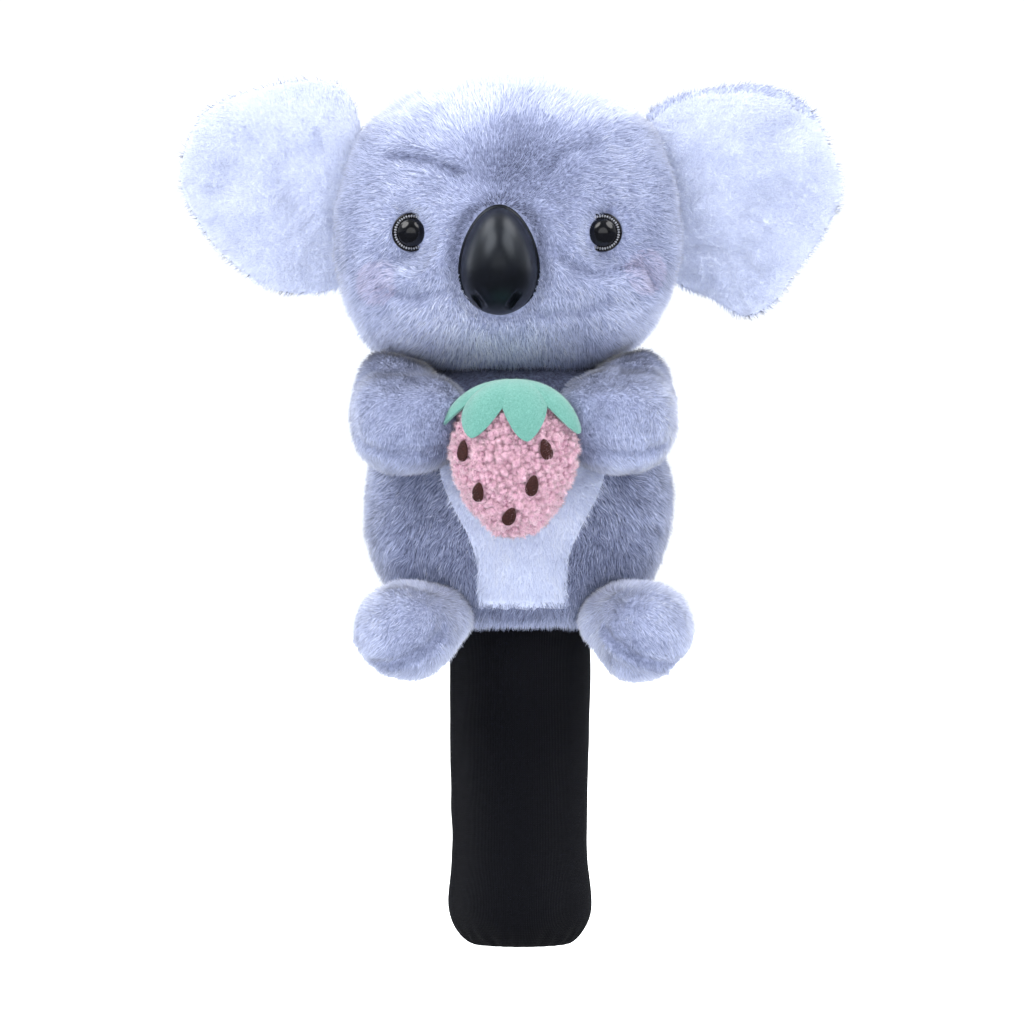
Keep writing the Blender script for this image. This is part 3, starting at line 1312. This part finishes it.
def make_sleeve():
    """A fine-ribbed black knit tube with a doubled cuff that turns in at its mouth."""
    rows = sleeve_profile()
    ribs = 250
    around = ribs * 4
    angle = np.linspace(0, math.tau, around, endpoint=False)
    rib = np.tile([1.0, 0.45, -1.0, 0.45], ribs)
    verts = []
    for number, (radius, height) in enumerate(rows):
        outer = number < OUTER_ROWS
        spots = np.column_stack([np.cos(angle) * 30, np.sin(angle) * 30, np.full(around, height)])
        folds = 0.45 * noise(spots * [1, 1, 0.35], 16.0, 401) + 0.22 * noise(spots * [1, 1, 0.7], 7.0, 402)
        gather = math.exp(-((height - 4) / 6) ** 2) * 0.5 * np.sin(angle * 22 + 2 * noise(spots, 9.0, 403))
        free = 1 - math.exp(-((height - 131) / 12) ** 2)
        out = radius + folds * free + gather * outer + (0.13 if outer else 0.05) * rib
        verts.append(np.column_stack([np.cos(angle) * out, np.sin(angle) * out, np.full(around, height)]))
    verts = np.vstack(verts)
    faces = cells(len(rows) + 1, around, ALONG).transpose(0, 2, 1, 3).reshape(-1, 3) % len(verts)
    surface = faced_out((verts, faces))
    shader = Shader("black_knit", Roughness=0.92, Sheen_Weight=0.05, Sheen_Roughness=0.45,
                    Specular_IOR_Level=0.12)
    split = shader.node("SeparateXYZ", {"Vector": shader.place()})
    around_node = shader.sum("ARCTAN2", split.outputs["Y"], split.outputs["X"])
    stitch = shader.sum("SINE", shader.sum("MULTIPLY", around_node, ribs * 2.0))
    row = shader.sum("SINE", shader.sum("MULTIPLY", split.outputs["Z"], math.tau / (0.8 * MM)))
    knit = shader.sum("ADD", shader.sum("MULTIPLY", stitch, 0.5), shader.sum("MULTIPLY", row, 0.3))
    shader.colour(shader.ramp(shader.grain(0.6), [(0.3, (6, 7, 12)), (0.7, (12, 13, 20))]))
    shader.bump(shader.sum("ADD", knit, shader.grain(0.5)), 0.5, 0.25)
    sleeve = make_piece("sleeve_ribs", surface, shader.material, None,
                        ("sleeve_knit", "cuff_lining"))
    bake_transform(sleeve)


make_sleeve()


# ---------------------------------------------------------------- hidden pieces

def coat(slot, nodes, dark, light, size, roughness):
    """Give the CAD nodes that lie inside the cover a finish with a grain of that size."""
    material = grained(slot + "_inside", size, [(0.3, dark), (0.7, light)], (size / 2, 0.4, 0.15),
                       Roughness=roughness)
    for node in nodes:
        mesh = frame["nodes"][node].data
        mesh.materials.clear()
        mesh.materials.append(material)


coat("lining_cloth", ["pocket_lining"], (30, 31, 38), (46, 48, 56), 0.7, 0.8)
coat("washer_plastic", ["nose_washer", "eye_washer_left", "eye_washer_right"], (212, 214, 216),
     (232, 233, 235), 1.5, 0.45)
coat("grey_thread", ["neck_seam"], (112, 120, 148), (150, 158, 186), 0.5, 0.9)
coat("elastic_band", ["mouth_elastic"], (20, 21, 25), (38, 40, 46), 0.6, 0.85)


# ---------------------------------------------------------------- camera, light and floor

def look(source, target):
    """Rotation that points an object's -Z from source to target."""
    return (Vector(target) - Vector(source)).to_track_quat("-Z", "Y").to_euler()


def make_camera():
    """The view along Y from the front, 0.44 m wide at the cover."""
    camera = bpy.data.cameras.new("camera")
    holder = add("camera", camera)
    camera.sensor_width = 36.0
    distance, frame_width = 2.2, 0.44
    camera.lens = camera.sensor_width * distance / frame_width
    holder.location = (-0.0034, -distance, 0.1873)
    holder.rotation_euler = (math.pi / 2, 0, 0)
    bpy.context.scene.camera = holder


def area_light(name, spot, target, size, power, colour=(1, 1, 1)):
    lamp = bpy.data.lights.new(name, "AREA")
    lamp.shape = "DISK"
    lamp.size = size
    lamp.energy = power
    lamp.color = colour
    holder = add(name, lamp)
    holder.location = spot
    holder.rotation_euler = look(spot, target)


def make_world():
    """Soft white light from all round, weakest from the front."""
    world = bpy.data.worlds.new("studio")
    bpy.context.scene.world = world
    world.use_nodes = True
    nodes = Nodes(world.node_tree)
    background = nodes.tree.nodes["Background"]
    background.inputs["Color"].default_value = (0.93, 0.96, 1.0, 1)
    split = nodes.node("SeparateXYZ", {"Vector": nodes.node("TexCoord").outputs["Generated"]})
    fade = nodes.node("MapRange", {"Value": split.outputs["Y"], "From Min": -1.0, "From Max": 1.0,
                                   "To Min": 0.14, "To Max": 1.3})
    seen = nodes.node("LightPath").outputs["Is Camera Ray"]
    pick = nodes.node("Mix", {"Factor": seen, "A": fade.outputs["Result"], "B": 1.15})
    nodes.put(pick.outputs["Result"], background.inputs["Strength"])


def make_stage():
    """A pale floor, even round the cover and a little brighter far from it."""
    shader = Shader("pale_floor", Roughness=0.9, Emission_Color=(1, 1, 1, 1), Specular_IOR_Level=0.1)
    distance = shader.node("VectorMath", {0: shader.place()}, operation="LENGTH").outputs["Value"]
    fade = shader.node("MapRange", {"Value": distance, "From Min": 0.06, "From Max": 0.5,
                                    "To Min": 0.88, "To Max": 1.1})
    seen = shader.node("LightPath").outputs
    glow = shader.sum("MULTIPLY", fade.outputs["Result"], seen["Is Camera Ray"])
    shader.put(glow, shader.bsdf.inputs["Emission Strength"])
    pale = shader.ramp(shader.grain(60), [(0.3, (0.93, 0.94, 0.96, 1)), (0.7, (0.96, 0.97, 0.98, 1))])
    shader.colour(shader.mix(seen["Is Glossy Ray"], pale, (0.06, 0.06, 0.07, 1)))
    mesh = bpy.data.meshes.new("floor")
    reach, level = 6.0, -0.006
    mesh.from_pydata([(-reach, -reach, level), (reach, -reach, level), (reach, reach, level),
                      (-reach, reach, level)], [], [(0, 1, 2, 3)])
    mesh.materials.append(shader.material)
    add("floor", mesh)


make_camera()
make_world()
make_stage()
MIDDLE = (0, 0, 0.22)   # what most lamps point at
area_light("softbox_left", (-1.2, -1.3, 1.6), MIDDLE, 1.6, 39)
area_light("softbox_right", (1.25, -1.2, 1.5), MIDDLE, 1.5, 27)
area_light("top_left", (-0.8, 0.0, 1.4), (0, 0, 0.2), 0.9, 9)
area_light("top_right", (0.8, 0.0, 1.4), (0, 0, 0.2), 0.9, 9)
area_light("low_front", (0, -1.7, 0.1), (0, 0, 0.24), 1.4, 7)
area_light("rim_left", (-1.2, 0.9, 0.6), MIDDLE, 0.9, 8, (0.9, 0.94, 1))
area_light("rim_right", (1.2, 0.9, 0.6), MIDDLE, 0.9, 7, (0.9, 0.94, 1))
bpy.context.scene.view_settings.view_transform = "Standard"
